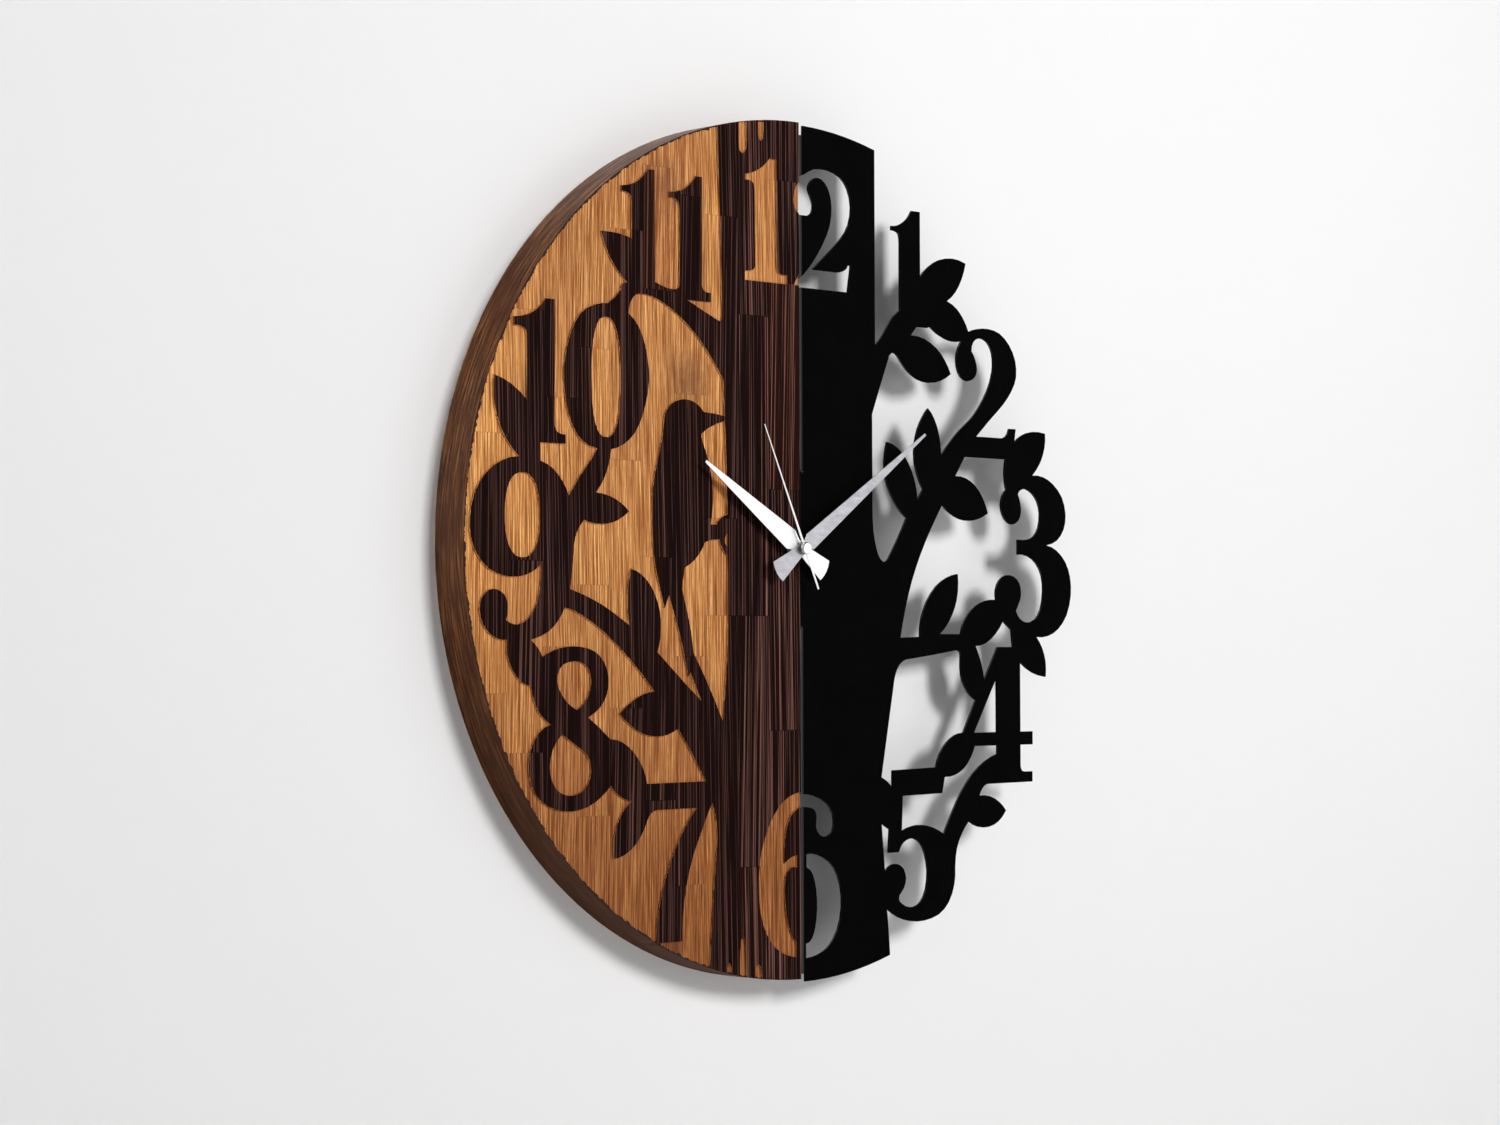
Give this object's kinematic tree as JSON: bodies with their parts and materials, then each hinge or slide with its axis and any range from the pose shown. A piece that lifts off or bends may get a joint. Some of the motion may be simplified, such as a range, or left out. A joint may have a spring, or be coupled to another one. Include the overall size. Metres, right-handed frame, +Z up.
{
  "type": "wall clock",
  "caption": "Round analogue quartz wall clock, one half carved wooden board and one half pierced steel sheet with tree branches and figures, three hands.",
  "frame": {"origin": "on the wall plane behind the hands' axis, at the middle of the movement's rear cover", "axes": "+X to the right as the dial is read, +Y into the wall, +Z up"},
  "size_m": [0.5484, 0.0424, 0.5618],
  "materials": {
    "stained_pine": "brushed and stained pine, carved areas honey brown, raised areas near black",
    "black_steel": "matt black powder coat",
    "zinc_steel": "bright zinc",
    "black_plastic": "moulded, fine matt",
    "white_plastic": "natural acetal",
    "amber_plastic": "translucent amber moulding",
    "brass": "turned",
    "rubber": "matt",
    "aluminium": "satin, lacquered",
    "copper": "enamelled copper wire, wound smooth",
    "circuit_board": "green solder mask",
    "battery": "plain grey sleeve"
  },
  "bodies": {
    "clock": {"wood_half_disc": "stained_pine", "metal_half_panel": "black_steel", "hanger_plate": "zinc_steel", "movement_case_front": "black_plastic", "threaded_bushing": "brass", "rubber_seal": "rubber", "flat_washer": "zinc_steel", "hex_nut": "zinc_steel", "movement_case_back": "black_plastic", "contact_positive": "zinc_steel", "contact_negative": "zinc_steel", "circuit_board": "circuit_board", "ic_blob": "black_plastic", "quartz_crystal": "aluminium", "coil_bobbin": "amber_plastic", "coil_winding": "copper", "coil_core": "zinc_steel", "stator": "zinc_steel", "middle_plate": "white_plastic", "train_bridge": "white_plastic", "flange_screw_1": "zinc_steel", "flange_screw_2": "zinc_steel", "flange_screw_3": "zinc_steel", "flange_screw_4": "zinc_steel", "hanger_screw_1": "zinc_steel", "hanger_screw_2": "zinc_steel"},
    "battery": {"battery_cell": "battery"},
    "hour": {"hour_wheel": "white_plastic", "hour_hand": "aluminium", "hour_hand_collet": "aluminium"},
    "minute": {"minute_arbor": "brass", "minute_hand": "aluminium", "minute_hand_collet": "aluminium"},
    "second": {"seconds_wheel": "white_plastic", "second_hand": "aluminium", "second_hand_cap": "aluminium"},
    "minute_gear": {"minute_wheel": "white_plastic", "setting_knob": "black_plastic"},
    "centre_gear": {"centre_wheel": "white_plastic"},
    "third_gear": {"third_wheel": "white_plastic"},
    "step_gear": {"step_wheel": "white_plastic"},
    "rotor_body": {"rotor": "black_plastic"}
  },
  "joints": [
    {"name": "second_hand_turn", "type": "hinge", "parent": "clock", "child": "second", "pos_m": [0, -0.038, 0], "axis": [0, 1, 0], "continuous": true},
    {"name": "minute_hand_turn", "type": "hinge", "parent": "clock", "child": "minute", "pos_m": [0, -0.036, 0], "axis": [0, 1, 0], "continuous": true},
    {"name": "hour_hand_turn", "type": "hinge", "parent": "clock", "child": "hour", "pos_m": [0, -0.035, 0], "axis": [0, 1, 0], "continuous": true},
    {"name": "minute_wheel_turn", "type": "hinge", "parent": "clock", "child": "minute_gear", "pos_m": [-0.0048, -0.01, 0.00831], "axis": [0, 1, 0], "continuous": true},
    {"name": "centre_wheel_turn", "type": "hinge", "parent": "clock", "child": "centre_gear", "pos_m": [0, -0.01, 0], "axis": [0, 1, 0], "continuous": true},
    {"name": "third_wheel_turn", "type": "hinge", "parent": "clock", "child": "third_gear", "pos_m": [0.00799, -0.01, 0.00291], "axis": [0, 1, 0], "continuous": true},
    {"name": "step_wheel_turn", "type": "hinge", "parent": "clock", "child": "step_gear", "pos_m": [-0.00822, -0.01, -0.00299], "axis": [0, 1, 0], "continuous": true},
    {"name": "rotor_turn", "type": "hinge", "parent": "clock", "child": "rotor_body", "pos_m": [-0.01499, -0.01, -0.00545], "axis": [0, 1, 0], "continuous": true},
    {"name": "battery_out", "type": "slide", "parent": "clock", "child": "battery", "axis": [0, 1, 0], "range_m": [0, 0.03]}
  ],
  "couplings": [
    {"joint": "hour_hand_turn", "follows": "minute_hand_turn", "ratio": 0.083333},
    {"joint": "minute_wheel_turn", "follows": "minute_hand_turn", "ratio": -0.33333},
    {"joint": "third_wheel_turn", "follows": "second_hand_turn", "ratio": -0.13333},
    {"joint": "centre_wheel_turn", "follows": "second_hand_turn", "ratio": 0.016667},
    {"joint": "step_wheel_turn", "follows": "second_hand_turn", "ratio": -6},
    {"joint": "rotor_turn", "follows": "second_hand_turn", "ratio": 30}
  ]
}
